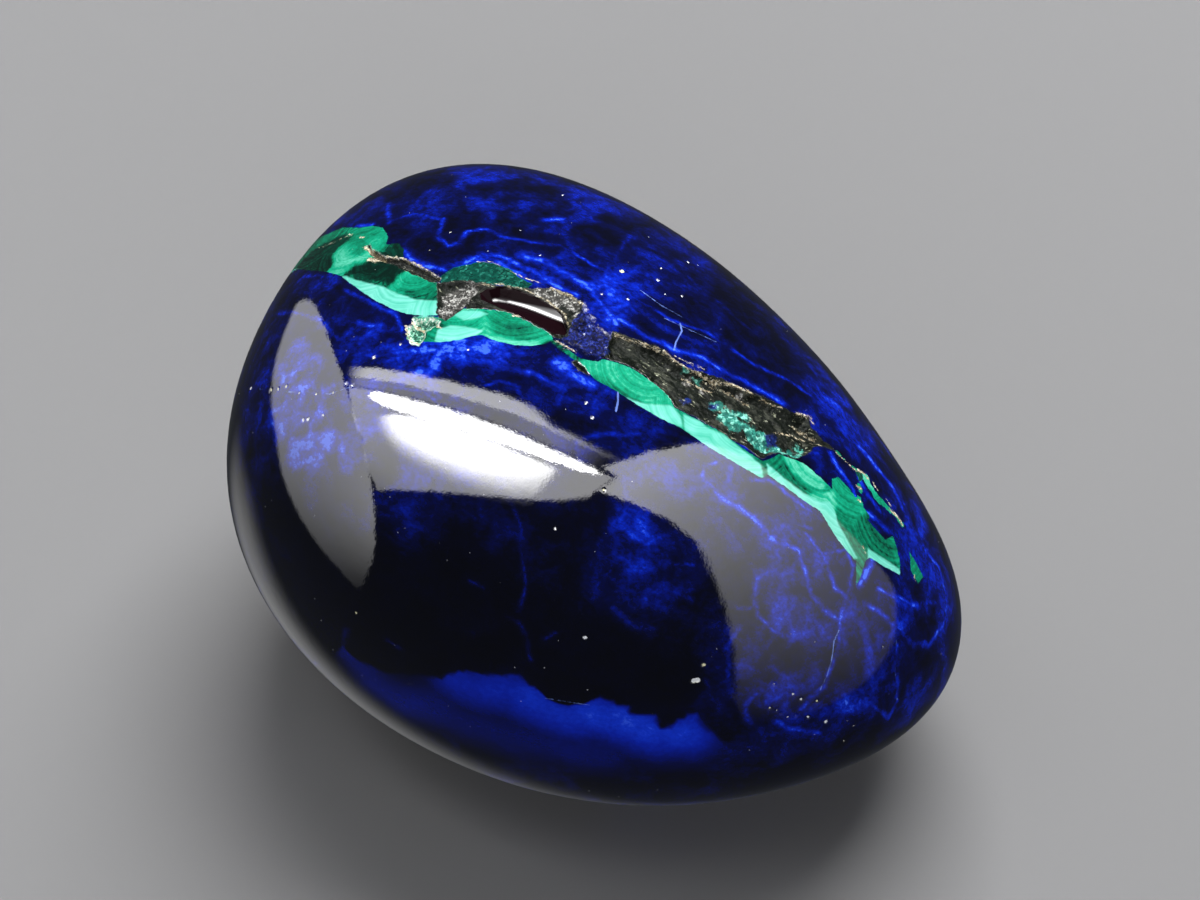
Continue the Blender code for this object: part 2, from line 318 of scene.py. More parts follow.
# Bright blue growth lines and clouds: (brightness, half width in mm, line)
BLUE_LINES = [
    (0.85, 0.28, [(390, 202), (388, 224), (397, 219), (410, 215), (426, 214), (440, 219)]),
    (0.95, 0.24, [(445, 220), (439, 236), (449, 246), (461, 243), (467, 232), (485, 229), (498, 235)]),
    (0.90, 0.24, [(500, 237), (525, 241), (560, 245), (585, 260), (597, 268)]),
    (0.80, 0.35, [(357, 226), (372, 225)]),
    (1.00, 0.38, [(405, 250), (412, 259), (430, 267), (444, 270)]),
    (1.00, 0.42, [(465, 262), (480, 256), (500, 257), (516, 262), (532, 271), (550, 283), (576, 295)]),
    (1.00, 0.60, [(520, 255), (545, 262), (568, 276), (590, 288)]),
    (0.90, 0.40, [(545, 220), (562, 220)]),
    (0.50, 0.45, [(500, 206), (530, 205)]),
    (0.75, 0.26, [(270, 318), (292, 311), (309, 315), (325, 325), (335, 337), (350, 347), (368, 347)]),
    (0.70, 0.35, [(297, 283), (305, 276), (322, 277)]),
    (0.85, 0.28, [(345, 289), (372, 303), (396, 315), (403, 330)]),
    (0.95, 0.42, [(358, 322), (374, 325)]),
    (1.00, 0.65, [(412, 350), (438, 352), (464, 358), (494, 362)]),
    (0.90, 0.40, [(505, 366), (530, 372), (552, 384)]),
    (0.70, 0.30, [(375, 383), (400, 387), (424, 394), (444, 403)]),
    (0.75, 0.28, [(485, 386), (498, 380), (513, 383), (522, 396)]),
    (1.00, 0.75, [(556, 360), (572, 374), (590, 384)]),
    (0.70, 0.40, [(577, 440), (608, 434), (640, 433)]),
    (0.65, 0.22, [(640, 433), (646, 455), (664, 470), (686, 478), (703, 477)]),
    (0.55, 0.40, [(560, 405), (566, 385)]),
    (0.50, 0.30, [(386, 425), (384, 440)]),
    (0.60, 0.45, [(612, 300), (606, 272), (618, 256), (630, 236)]),
    (0.95, 0.45, [(592, 292), (606, 312), (616, 325)]),
    (1.00, 0.36, [(617, 319), (647, 336), (676, 351), (702, 358), (735, 376), (760, 391), (784, 404)]),
    (0.85, 0.22, [(627, 290), (645, 305), (670, 319), (699, 330), (722, 343), (750, 362), (775, 375),
                  (797, 385), (811, 396)]),
    (0.55, 0.70, [(640, 312), (668, 330), (700, 344)]),
    (0.42, 0.35, [(717, 300), (735, 318), (757, 334)]),
    (0.60, 0.28, [(795, 401), (812, 411), (830, 415), (838, 427), (843, 441)]),
    (0.62, 0.26, [(824, 402), (842, 414), (852, 428), (858, 444), (878, 457)]),
    (0.95, 0.45, [(858, 446), (876, 468), (893, 489), (903, 511)]),
    (0.80, 0.40, [(858, 478), (868, 496), (880, 512)]),
    (0.95, 0.34, [(829, 452), (841, 472), (853, 492), (861, 509), (882, 526), (896, 537)]),
    (0.75, 0.30, [(806, 449), (818, 452)]),
    (0.88, 0.25, [(703, 477), (705, 466), (716, 461)]),
    (1.10, 0.30, [(703, 478), (715, 487), (721, 498), (740, 508), (760, 526), (777, 543), (795, 548)]),
    (0.88, 0.25, [(748, 477), (772, 484), (797, 500), (817, 517)]),
    (0.83, 0.25, [(780, 514), (798, 524), (813, 530)]),
    (1.00, 0.25, [(797, 548), (807, 570), (812, 595), (825, 612), (842, 620)]),
    (0.96, 0.25, [(808, 535), (824, 553), (830, 575), (833, 590), (847, 598)]),
    (0.90, 0.22, [(824, 553), (846, 549), (853, 566), (850, 592)]),
    (1.10, 0.38, [(862, 584), (866, 571), (872, 561)]),
    (0.98, 0.28, [(847, 600), (840, 620), (838, 645), (832, 665), (825, 685), (810, 697), (800, 710)]),
    (0.90, 0.25, [(768, 570), (758, 578), (754, 597), (758, 616), (774, 632), (790, 635), (802, 623),
                  (811, 615)]),
    (0.78, 0.22, [(732, 608), (754, 609)]),
    (0.90, 0.25, [(738, 628), (728, 648), (727, 674)]),
    (0.78, 0.28, [(758, 693), (746, 705), (751, 724)]),
    (0.78, 0.25, [(770, 667), (789, 679), (811, 691)]),
    (0.98, 0.33, [(777, 722), (797, 731), (819, 731)]),
    (0.98, 0.28, [(865, 606), (882, 615), (898, 628), (913, 645), (928, 647), (940, 631), (947, 612)]),
    (1.00, 0.28, [(880, 590), (903, 600), (916, 605), (936, 600)]),
    (1.03, 0.30, [(926, 550), (939, 570), (946, 600), (944, 622)]),
    (0.88, 0.25, [(897, 645), (895, 670), (897, 700), (890, 716), (852, 697)]),
    (0.73, 0.88, [(862, 625), (868, 655), (874, 690)]),
    (0.55, 0.18, [(605, 534), (623, 549), (644, 546)]),
    (0.50, 0.14, [(611, 564), (634, 551), (659, 540)]),
    (0.60, 0.20, [(592, 600), (598, 582), (611, 570)]),
    (0.55, 0.20, [(650, 562), (672, 563), (695, 566)]),
    (0.55, 0.22, [(612, 578), (640, 583), (662, 587), (692, 600)]),
    (0.45, 0.50, [(612, 608), (632, 622), (652, 630)]),
    (0.50, 0.30, [(374, 494), (396, 492), (418, 496)]),
    (0.45, 0.40, [(378, 512), (398, 518), (416, 522)]),
    (0.52, 0.20, [(449, 492), (461, 508), (476, 519)]),
    (0.50, 0.22, [(512, 504), (520, 530), (522, 560), (526, 590), (520, 612)]),
    (0.48, 0.18, [(509, 621), (520, 626), (527, 636), (530, 660)]),
    (0.42, 0.18, [(542, 641), (554, 633)]),
    (0.40, 0.20, [(466, 629), (472, 631)]),
    (0.42, 0.22, [(470, 583), (484, 588)]),
    (0.42, 0.25, [(390, 640), (399, 646)]),
    (0.45, 0.30, [(345, 629), (343, 646), (352, 666)]),
    (0.45, 0.30, [(704, 681), (712, 696), (719, 708)]),
    (0.25, 0.60, [(748, 768), (762, 768)]),
]
# The smooth bright cloud low on the front, whose upper edge is crisp.
LOW_CLOUD = [
    (340, 640), (352, 655), (365, 663), (387, 670), (410, 672), (436, 676), (441, 677), (456, 669),
    (470, 670), (485, 676), (502, 675), (516, 670), (525, 683), (539, 689), (548, 699), (568, 702),
    (588, 699), (600, 696), (611, 700), (628, 706), (634, 714), (657, 715), (660, 726), (674, 720),
    (700, 709), (706, 726), (723, 738), (746, 748), (790, 758), (760, 790), (690, 797), (600, 800),
    (500, 788), (430, 752), (370, 705), (330, 660),
]
CLOUD_GLOWS = [  # how it glows under its upper edge: (brightness, how far it fades in mm, line)
    (0.88, 2.3, [(528, 700), (562, 714), (600, 712), (632, 724), (660, 732), (686, 732)]),
    (0.76, 2.2, [(458, 682), (480, 690), (510, 693), (535, 704)]),
    (0.52, 2.2, [(350, 650), (372, 680), (400, 700), (440, 710)]),
    (0.46, 2.4, [(430, 706), (470, 724), (520, 738), (600, 750)]),
]
# How blue each quarter is between its lines, as judged: (brightness, radius in mm, centre)
BLUE_LEVELS = [
    (0.42, 4.0, (480, 180)), (0.36, 3.0, (400, 195)), (0.42, 3.0, (590, 215)), (0.30, 2.5, (420, 232)),
    (0.60, 1.6, (512, 266)), (0.42, 1.5, (556, 250)), (0.62, 2.0, (600, 290)), (0.40, 3.0, (660, 270)),
    (0.20, 2.5, (700, 290)), (0.34, 2.5, (760, 330)), (0.30, 2.0, (780, 360)), (0.58, 2.5, (835, 395)),
    (0.40, 2.0, (885, 450)), (0.50, 2.5, (930, 540)), (0.50, 2.0, (930, 600)), (0.58, 2.5, (870, 650)),
    (0.42, 2.5, (920, 690)),
    (0.40, 2.5, (300, 340)), (0.88, 2.5, (290, 390)), (0.76, 2.5, (305, 440)), (0.30, 3.0, (250, 480)),
    (0.12, 3.5, (280, 540)), (0.48, 2.5, (350, 320)), (1.06, 1.3, (430, 354)), (0.48, 2.5, (400, 370)),
    (0.86, 1.4, (480, 361)), (0.72, 1.1, (582, 384)), (0.52, 1.2, (676, 350)),
    (0.36, 2.5, (480, 400)), (0.30, 2.5, (560, 420)), (0.34, 2.0, (520, 370)), (0.34, 2.0, (640, 440)),
    (0.46, 2.5, (720, 490)), (0.43, 2.5, (780, 560)), (0.46, 2.0, (830, 560)), (0.26, 2.5, (715, 540)),
    (0.50, 2.0, (750, 630)), (0.22, 2.0, (560, 560)), (0.08, 3.5, (450, 590)), (0.06, 3.5, (400, 610)),
    (0.84, 1.7, (635, 575)), (0.80, 1.6, (680, 560)), (0.05, 2.2, (640, 670)), (0.08, 2.5, (570, 640)),
    (0.05, 3.0, (330, 620)), (0.60, 2.2, (790, 670)), (0.26, 2.0, (740, 740)), (0.12, 4.0, (360, 730)),
    (0.20, 3.5, (600, 785)), (0.12, 3.0, (830, 755)), (0.40, 2.0, (430, 470)), (0.50, 1.8, (395, 508)),
    (0.36, 1.8, (490, 525)), (0.10, 2.0, (690, 620)), (0.74, 2.0, (865, 690)), (0.45, 2.0, (815, 715)),
]
# Pale pits and specks: (radius in mm, centres)
SPECKS = [
    (0.13, [(622, 271), (694, 681), (698, 680)]),
    (0.09, [(585, 638), (658, 280), (704, 665), (826, 722), (303, 420), (308, 419), (271, 390),
            (251, 388), (278, 389), (286, 386)]),
    (0.06, [
        (688, 262), (661, 268), (602, 294), (628, 299), (682, 296), (586, 403), (592, 418), (374, 358),
        (450, 232), (562, 195), (555, 528), (604, 490), (356, 613), (316, 394), (299, 393),
        (323, 415), (774, 684), (793, 694), (801, 699), (817, 701), (808, 717),
    ]),
    (0.045, [
        (665, 294), (239, 394), (333, 393), (346, 384), (353, 386), (770, 708),
        (777, 710), (788, 717), (847, 721), (854, 726), (844, 741), (883, 647), (781, 713), (796, 716),
        (430, 250), (520, 230), (540, 255), (468, 350), (400, 345), (698, 265),
    ]),
]
# Healed hairline cracks: (half width in mm, line)
HAIRLINES = [
    (0.035, [(680, 323), (682, 331), (676, 342), (674, 350)]),
    (0.040, [(618, 392), (618, 401), (616, 411)]),
    (0.030, [(839, 630), (834, 641), (832, 657), (828, 673), (820, 690)]),
    (0.022, [(896, 640), (895, 672), (897, 700)]),
    (0.022, [(235, 384), (260, 389), (290, 392), (330, 394), (353, 386)]),
    (0.018, [(545, 698), (570, 702), (590, 705)]),
    (0.018, [(664, 318), (690, 330), (716, 342)]),
    (0.018, [(640, 290), (662, 306), (684, 318)]),
]

# ---------------------------------------------------------------- the form and its surface

BALL_STEPS = 6  # subdivisions of the ball that the visible surface is drawn on
SEEN = -0.15  # the surface is divided again where it faces the view by more than this,
NEAR_LINES = 0.30  # again this near in mm to a blue line,
NEAR_DETAILS = (0.70, 0.28)  # and again this near to the seam, hairlines and specks, twice
NEAR_SCOOP = 0.12  # and once more in the glossy scoop
POLISHED_STEPS = 6  # subdivisions of the surface that traced points are put back on


def unit(vectors):
    return vectors / np.linalg.norm(vectors, axis=-1, keepdims=True)


def vertex_array(mesh):
    """A mesh's vertices as an array of points."""
    values = np.empty(len(mesh.vertices) * 3)
    mesh.vertices.foreach_get("co", values)
    return values.reshape(-1, 3)


class PolishedForm:
    """The stone's polished surface with no facets, fissures or flat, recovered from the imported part.

    Its distance from the middle of the part's box is a polynomial of the direction, fitted to the part's
    vertices but for those on the flat and in the fissures.
    """

    DEGREE = 10
    ROUNDS = 6
    SLACK = 0.03  # a vertex deeper than this under the fit lies in a fissure

    def __init__(self, part):
        points = vertex_array(part.data) / MM
        self.heart = (points.min(0) + points.max(0)) / 2
        distances = np.linalg.norm(points - self.heart, axis=1)
        terms = self.terms(unit(points - self.heart))
        standing = points[:, 2] > self.SLACK
        used = standing
        for _ in range(self.ROUNDS):
            self.weights = np.linalg.lstsq(terms[used], distances[used], rcond=1e-10)[0]
            used = standing & (distances - terms @ self.weights > -self.SLACK)

    def terms(self, toward):
        x, y, z = toward.T
        return np.stack([
            x ** i * y ** j * z ** (degree - i - j)
            for degree in (self.DEGREE, self.DEGREE - 1)
            for i in range(degree + 1)
            for j in range(degree + 1 - i)
        ], axis=1)

    def at(self, toward):
        """Points on the surface in some directions from the heart, never below the flat."""
        toward = unit(toward)
        points = self.heart + toward * (self.terms(toward) @ self.weights)[:, None]
        points[:, 2] = np.maximum(points[:, 2], 0.0)
        return points


class PhotoView:
    """The photograph's view: where it stands, and where a pixel falls on the stone."""

    BESIDE_TARGET = 25  # mm before and behind the target where a near miss is looked for
    NEAR_MISSES = range(int(VIEW_DISTANCE) - BESIDE_TARGET, int(VIEW_DISTANCE) + BESIDE_TARGET)

    def __init__(self, form):
        azimuth, elevation = math.radians(VIEW_AZIMUTH), math.radians(VIEW_ELEVATION)
        self.back = np.array([math.sin(azimuth) * math.cos(elevation),
                              -math.cos(azimuth) * math.cos(elevation), math.sin(elevation)])
        self.right = np.array([math.cos(azimuth), math.sin(azimuth), 0.0])
        self.up = np.cross(self.back, self.right)
        self.eye = np.array(VIEW_TARGET) + self.back * VIEW_DISTANCE
        ball = bmesh.new()
        bmesh.ops.create_icosphere(ball, subdivisions=POLISHED_STEPS, radius=1.0)
        points = form.at(np.array([vertex.co for vertex in ball.verts]))
        faces = [[vertex.index for vertex in face.verts] for face in ball.faces]
        self.skin = BVHTree.FromPolygons([Vector(point) for point in points], faces)
        ball.free()

    def on_stone(self, pixels):
        """The traced pixels as points on the stone; one that just misses it takes the nearest point."""
        found = []
        for x, y in pixels:
            ray = (self.right * (x - FRAME_WIDTH / 2) - self.up * (y - FRAME_HEIGHT / 2)) / PIXELS_PER_MM
            ray = Vector(ray - self.back * VIEW_DISTANCE).normalized()
            eye = Vector(self.eye)
            point = self.skin.ray_cast(eye, ray)[0]
            if point is None:
                passing = [self.skin.find_nearest(eye + ray * reach) for reach in self.NEAR_MISSES]
                point = min(passing, key=lambda hit: hit[3])[0]
            found.append(point)
        return np.array(found)

    def faced(self, points, normals):
        """How squarely the surface faces the view: 1 straight at it, 0 at its outline, less behind."""
        return (unit(self.eye - points) * normals).sum(axis=1)


class SeamChart:
    """Unrolls the stone over its top: how far along from the top a point lies, and how far across."""

    STEPS = 720

    def __init__(self, form):
        self.heart = form.heart
        angles = np.linspace(-math.pi, math.pi, self.STEPS + 1)
        ring = form.at(np.stack([np.sin(angles), 0 * angles, np.cos(angles)], axis=1))
        steps = np.linalg.norm(np.diff(ring, axis=0), axis=1)
        self.angles = angles
        self.along = np.concatenate([[0.0], np.cumsum(steps)])
        self.along -= self.along[self.STEPS // 2]

    def __call__(self, points):
        angles = np.arctan2(points[:, 0] - self.heart[0], points[:, 2] - self.heart[2])
        return np.stack([np.interp(angles, self.angles, self.along), points[:, 1]], axis=1)


# ---------------------------------------------------------------- measuring from traced shapes

FAR = 9.0  # no distance is measured further than this
GIRDLE_RADIUS = 17.0
TINY = 1e-12  # stands in for the squared length of a side of no length
WOBBLE_SEED = 1  # Blender draws a vector noise's offsets from the clock, unless it has a seed


def inside(points, outline):
    """How far in mm each chart point is inside a closed outline; outside, the distance is negative."""
    nearest = np.full(len(points), FAR ** 2)
    within = np.zeros(len(points), bool)
    low, high = outline.min(0) - FAR, outline.max(0) + FAR
    near = np.flatnonzero(((points > low) & (points < high)).all(axis=1))
    x, y = points[near].T
    for start, end in zip(outline, np.roll(outline, -1, axis=0)):
        run = end - start
        share = ((x - start[0]) * run[0] + (y - start[1]) * run[1]) / max(run @ run, TINY)
        share = np.clip(share, 0, 1)
        squared = (x - start[0] - share * run[0]) ** 2 + (y - start[1] - share * run[1]) ** 2
        nearest[near] = np.minimum(nearest[near], squared)
        if start[1] != end[1]:
            crosses = (start[1] > y) != (end[1] > y)
            within[near] ^= crosses & (x < start[0] + (y - start[1]) * run[0] / run[1])
    return np.sqrt(nearest) * np.where(within, 1, -1)


def from_line(points, line):
    """Distance in mm from each point to an open line through points on the stone."""
    nearest = np.full(len(points), FAR ** 2)
    low, high = line.min(0) - FAR / 2, line.max(0) + FAR / 2
    near = np.flatnonzero(((points > low) & (points < high)).all(axis=1))
    close = points[near]
    best = nearest[near]
    for start, end in zip(line, line[1:]):
        run = end - start
        share = np.clip((close - start) @ run / max(run @ run, TINY), 0, 1)
        best = np.minimum(best, ((close - start - share[:, None] * run) ** 2).sum(axis=1))
    nearest[near] = best
    return np.sqrt(nearest)


def ease(value, low, high):
    """0 below low, 1 above high, and smooth between."""
    share = np.clip((value - low) / (high - low), 0, 1)
    return share * share * (3 - 2 * share)


def wobble(points, reach, size):
    """The points moved about by up to reach mm, in a noise whose swells are size mm across."""
    noise.seed_set(WOBBLE_SEED)
    shifts = np.array([noise.noise_vector(Vector(point) / size) for point in points])
    return points + shifts * reach


def roughness_of(points, size, octaves=4):
    """A fractal noise about 0 whose largest swells are size mm across."""
    return np.array([noise.fractal(Vector(point) / size, 0.8, 2.1, octaves) for point in points])


class Layout:
    """Everything traced, put back on the stone and measured from any points of its surface."""

    def __init__(self, form, view):
        self.form, self.view = form, view
        self.chart = SeamChart(form)

    def within(self, points, shapes, unrolled=()):
        """How far inside the nearest of some outlines each point is: traced ones, and unrolled ones."""
        places = self.chart(points)
        outlines = [self.chart(self.view.on_stone(pixels)) for pixels in shapes.values()]
        outlines += [np.array(outline) for outline in dict(unrolled).values()]
        return np.max([inside(places, outline) for outline in outlines], axis=0)

    def girdle(self, points):
        """Unrolls the stone's sides: how far round from the front, and how high, in mm."""
        out = points - self.form.heart
        return np.stack([np.arctan2(out[:, 0], -out[:, 1]) * GIRDLE_RADIUS, points[:, 2]], axis=1)

    def strokes(self, points, marks):
        """How far inside the nearest of some strokes of (half width, line) each point is."""
        return np.max([width - from_line(points, self.view.on_stone(line)) for width, line in marks], axis=0)

    def spots(self, points, marks):
        """How far inside the nearest of some spots of (radius, centre) each point is."""
        centres = self.view.on_stone([centre for _, centre in marks])
        gaps = [radius - np.linalg.norm(points - centre, axis=1)
                for (radius, _), centre in zip(marks, centres)]
        return np.max(gaps, axis=0)

    def from_details(self, points):
        """Distance in mm to the nearest thing that needs the finest surface; 0 within it."""
        seam = self.within(points, {**FISSURE, **LOWER_PIT, **GRANULAR, **MALACHITE}, BLUNT_END_RUN)
        hairs = self.strokes(points, HAIRLINES + FLECKS)
        specks = self.spots(points, all_specks())
        return np.maximum(-np.max([seam, hairs, specks], axis=0), 0)

    def from_blue_lines(self, points):
        return -self.strokes(points, [(half_width, line) for _, half_width, line in BLUE_LINES])


def all_specks():
    return [(radius, centre) for radius, centres in SPECKS for centre in centres]


# ---------------------------------------------------------------- the stone

# How deep each open place is in mm, and how wide its sloping edge.
FISSURE_DEPTHS = {
    "crack": (0.28, 0.12), "junction": (0.30, 0.35), "scoop rim": (0.16, 0.25), "main": (0.45, 0.45),
    "notch": (0.25, 0.15),
}
SUGARY_DEPTH = 0.14
SCOOP_RIM_DEPTH, SCOOP_DEPTH = 0.05, 0.46
SCOOP_SLOPES = (0.80, 1.30)  # down from its far rim, and from its near one
SCOOP_BEND = 0.14
PIT_DEPTH = 0.26
SPECK_DEPTH = 0.05
STREAKED = (0.45, 1.2, 1.2)  # the fissures' floor is drawn out along the stone
COARSE_ROUGH, FINE_ROUGH, SUGARY_ROUGH = 0.12, 0.035, 0.07  # how rough the floors are, in mm
HIGHEST = 0.02  # the rough floors rise no further than this over the polished form
NEAR_ROUGH = -0.3  # relief is worked out from this far outside the rough places

# How blue the stone is away from every quarter that was judged, and how little that weighs.
UNSEEN_LEVEL, UNSEEN_WEIGHT = 0.24, 0.05
# The same for the malachite's lightness.
MIDDLING_GREEN, MIDDLING_WEIGHT = 0.5, 1e-4
# The shares of a blue line in its thin bright core and in the faint light about it, and their widths in
# half widths of the line.
CORE, HALO = 0.44, 0.14
CORE_WIDTH, HALO_WIDTH = 0.32, 3


def finely_divided(form, layout):
    """A ball of triangles on the polished form, finer where it is seen and where there is detail."""

    def seen(points):
        return layout.view.faced(points, unit(points - form.heart)) > SEEN

    def lined(points):
        return (layout.from_blue_lines(points) < NEAR_LINES) | (layout.from_details(points) < NEAR_DETAILS[0])

    def detailed(points):
        return layout.from_details(points) < NEAR_DETAILS[1]

    def scooped_out(points):
        return layout.within(points, SCOOP) > -NEAR_SCOOP

    ball = bmesh.new()
    bmesh.ops.create_icosphere(ball, subdivisions=BALL_STEPS, radius=1.0)
    for chosen in (seen, lined, detailed, scooped_out):
        middles = np.array([edge.verts[0].co + edge.verts[1].co for edge in ball.edges])
        edges = [edge for edge, take in zip(ball.edges, chosen(form.at(middles))) if take]
        bmesh.ops.subdivide_edges(ball, edges=edges, cuts=1)
        bmesh.ops.triangulate(ball, faces=[face for face in ball.faces if len(face.verts) > 3])
    return ball


def blue_levels(layout, points):
    """How bright the azurite is in each quarter, before its mottling."""
    centres = layout.view.on_stone([centre for _, _, centre in BLUE_LEVELS])
    total = np.full(len(points), UNSEEN_WEIGHT)
    level = np.full(len(points), UNSEEN_WEIGHT * UNSEEN_LEVEL)
    for (brightness, radius, _), centre in zip(BLUE_LEVELS, centres):
        weight = np.exp(-((points - centre) ** 2).sum(axis=1) / radius ** 2)
        total += weight
        level += weight * brightness
    return level / total


def blue_lines(layout, points):
    """How bright the growth lines are: a thin core, a soft glow and a faint light about each."""
    warped = wobble(wobble(points, 0.20, 1.4), 0.07, 0.40)
    level = np.zeros(len(points))
    for brightness, half_width, line in BLUE_LINES:
        gap = from_line(warped, layout.view.on_stone(line)) / half_width
        core = CORE * np.exp(-(gap / CORE_WIDTH) ** 2)
        glow = (1 - CORE - HALO) * np.exp(-gap ** 2) + HALO * np.exp(-(gap / HALO_WIDTH) ** 2)
        level = np.maximum(level, brightness * (core + glow))
    return level


def low_cloud(layout, points):
    """The smooth cloud low on the front: brightest under its crisp upper edge, and fading below."""
    places = layout.girdle(wobble(wobble(points, 0.30, 1.8), 0.10, 0.5))
    within = inside(places, layout.girdle(layout.view.on_stone(LOW_CLOUD)))
    glows = [brightness * np.exp(-(from_line(points, layout.view.on_stone(line)) / reach) ** 2)
             for brightness, reach, line in CLOUD_GLOWS]
    return ease(within, -0.06, 0.20) * np.max(glows, axis=0)


def lightness_of_green(layout, points):
    """How light the malachite is, from the strokes traced near each point."""
    warped = wobble(points, 0.08, 0.5)
    total = np.full(len(points), MIDDLING_WEIGHT)
    level = np.full(len(points), MIDDLING_WEIGHT * MIDDLING_GREEN)
    for lightness, half_width, line in GREENS:
        weight = np.exp(-(from_line(warped, layout.view.on_stone(line)) / half_width) ** 2)
        total += weight
        level += weight * lightness
    return level / total


def growth_rings(layout, points):
    """Distance in mm from the nearest centre that the malachite's bands grew out from."""
    centres = layout.view.on_stone([centre for centre, _ in GROWTH_CENTRES])
    gaps = [np.linalg.norm(points - centre, axis=1) + start
            for (_, start), centre in zip(GROWTH_CENTRES, centres)]
    return np.min(gaps, axis=0)


def ragged_edge(points):
    """What is added to a distance from an open place's traced edge, so that the edge is broken."""
    return roughness_of(points + 3.0, 0.9, 3) * 0.10 + roughness_of(points + 5.0, 0.25, 3) * 0.05


def scooped(layout, points):
    """The scoop's depth in mm: a slope down from its far rim, a sharp bend and a nearly level floor."""
    from_far = from_line(points, layout.view.on_stone(SCOOP_SIDES["far"]))
    from_near = from_line(points, layout.view.on_stone(SCOOP_SIDES["near"]))
    floor_depth = soft_least(SCOOP_SLOPES[0] * from_far, np.full(len(points), SCOOP_DEPTH))
    return soft_least(floor_depth, SCOOP_SLOPES[1] * from_near)


def soft_least(a, b):
    """The lesser of two depths, with a bend of SCOOP_BEND mm where they meet."""
    share = np.clip(0.5 + 0.5 * (b - a) / SCOOP_BEND, 0, 1)
    return b * (1 - share) + a * share - SCOOP_BEND * share * (1 - share)


def relief(layout, points, marks):
    """How deep in mm the surface lies under the polished form."""
    places = layout.chart(points)
    rough = np.flatnonzero(np.maximum(marks["fissure"], marks["sugary"]) > NEAR_ROUGH)
    near = points[rough]
    coarse = roughness_of(near * STREAKED, 0.8)
    fine = roughness_of(near + 7.0, 0.25, 3)
    deep = np.zeros(len(rough))
    for name, (depth, slope) in FISSURE_DEPTHS.items():
        within = inside(places[rough], layout.chart(layout.view.on_stone(FISSURE[name])))
        deep = np.maximum(deep, depth * ease(within + marks["ragged"][rough], -0.02, slope))
    deep += (coarse * COARSE_ROUGH + fine * FINE_ROUGH) * ease(marks["fissure"][rough], 0.0, 0.3)
    deep += (SUGARY_DEPTH + fine * SUGARY_ROUGH) * ease(marks["sugary"][rough], 0.0, 0.4)
    depth = np.zeros(len(points))
    depth[rough] = deep
    hollow = ease(marks["scoop"], -0.02, 0.04)
    depth = depth * (1 - hollow) + (SCOOP_RIM_DEPTH + scooped(layout, points)) * hollow
    depth += PIT_DEPTH * ease(marks["pit"], -0.05, 0.3) + SPECK_DEPTH * ease(marks["speck"], -0.03, 0.04)
    return np.maximum(depth, -HIGHEST)


def measured(layout, points, normals):
    """Everything that the material reads at the points: mostly how far inside something each one is."""
    ragged = ragged_edge(points)
    return {
        "malachite": np.maximum(layout.within(points, MALACHITE, BLUNT_END_RUN),
                                layout.strokes(points, FLECKS) + ragged * 1.5),
        "mint": layout.within(points, MINT, BLUNT_END_MINT),
        "granular": layout.within(points, GRANULAR) + ragged,
        "fissure": layout.within(points, FISSURE, BLUNT_END_CRACK) + ragged,
        "sugary": layout.within(points, SUGARY) + ragged * 2,
        "scoop": layout.within(points, SCOOP),
        "shine": layout.strokes(points, SCOOP_SHINE),
        "pit": layout.within(points, LOWER_PIT) + ragged * 1.5,
        "cream": layout.strokes(points, CREAM_RIMS_AND_RIM_HIGHLIGHT),
        "teal": layout.spots(points, TEAL_CRYSTALS),
        "blue_crystal_and_glint": layout.spots(points, BLUE_CRYSTALS_AND_GLINTS),
        "grit": layout.spots(points, GRITTY_AND_GLITTER),
        "speck": layout.spots(points, all_specks()),
        "hairline": layout.strokes(points, HAIRLINES),
        "green": lightness_of_green(layout, points),
        "ring": growth_rings(layout, points),
        "blue": blue_levels(layout, points),
        "line": blue_lines(layout, points),
        "cloud": low_cloud(layout, points),
        "unseen": ease(0.30 - layout.view.faced(points, normals), 0.0, 0.30),
        "ragged": ragged,
    }


def stone(form, layout):
    """The visible stone: the polished form with its fissures and pits, and what its material reads."""
    ball = finely_divided(form, layout)
    points = form.at(np.array([vertex.co for vertex in ball.verts]))
    mesh = bpy.data.meshes.new("azurite_specimen")
    ball.to_mesh(mesh)
    ball.free()
    mesh.vertices.foreach_set("co", (points * MM).ravel())
    mesh.update()
    normals = np.empty(len(points) * 3)
    mesh.vertex_normals.foreach_get("vector", normals)
    normals = normals.reshape(-1, 3)
    marks = measured(layout, points, normals)
    points = points - normals * relief(layout, points, marks)[:, None]
    points[:, 2] = np.maximum(points[:, 2], 0.0)
    mesh.vertices.foreach_set("co", (points * MM).ravel())
    for name, values in marks.items():
        attribute = mesh.attributes.new(name, "FLOAT", "POINT")
        attribute.data.foreach_set("value", np.clip(values, -FAR, FAR).astype(np.float32))
    mesh.shade_smooth()
    mesh.update()
    piece = bpy.data.objects.new("azurite_specimen", mesh)
    bpy.context.scene.collection.objects.link(piece)
    return piece


# ---------------------------------------------------------------- the material


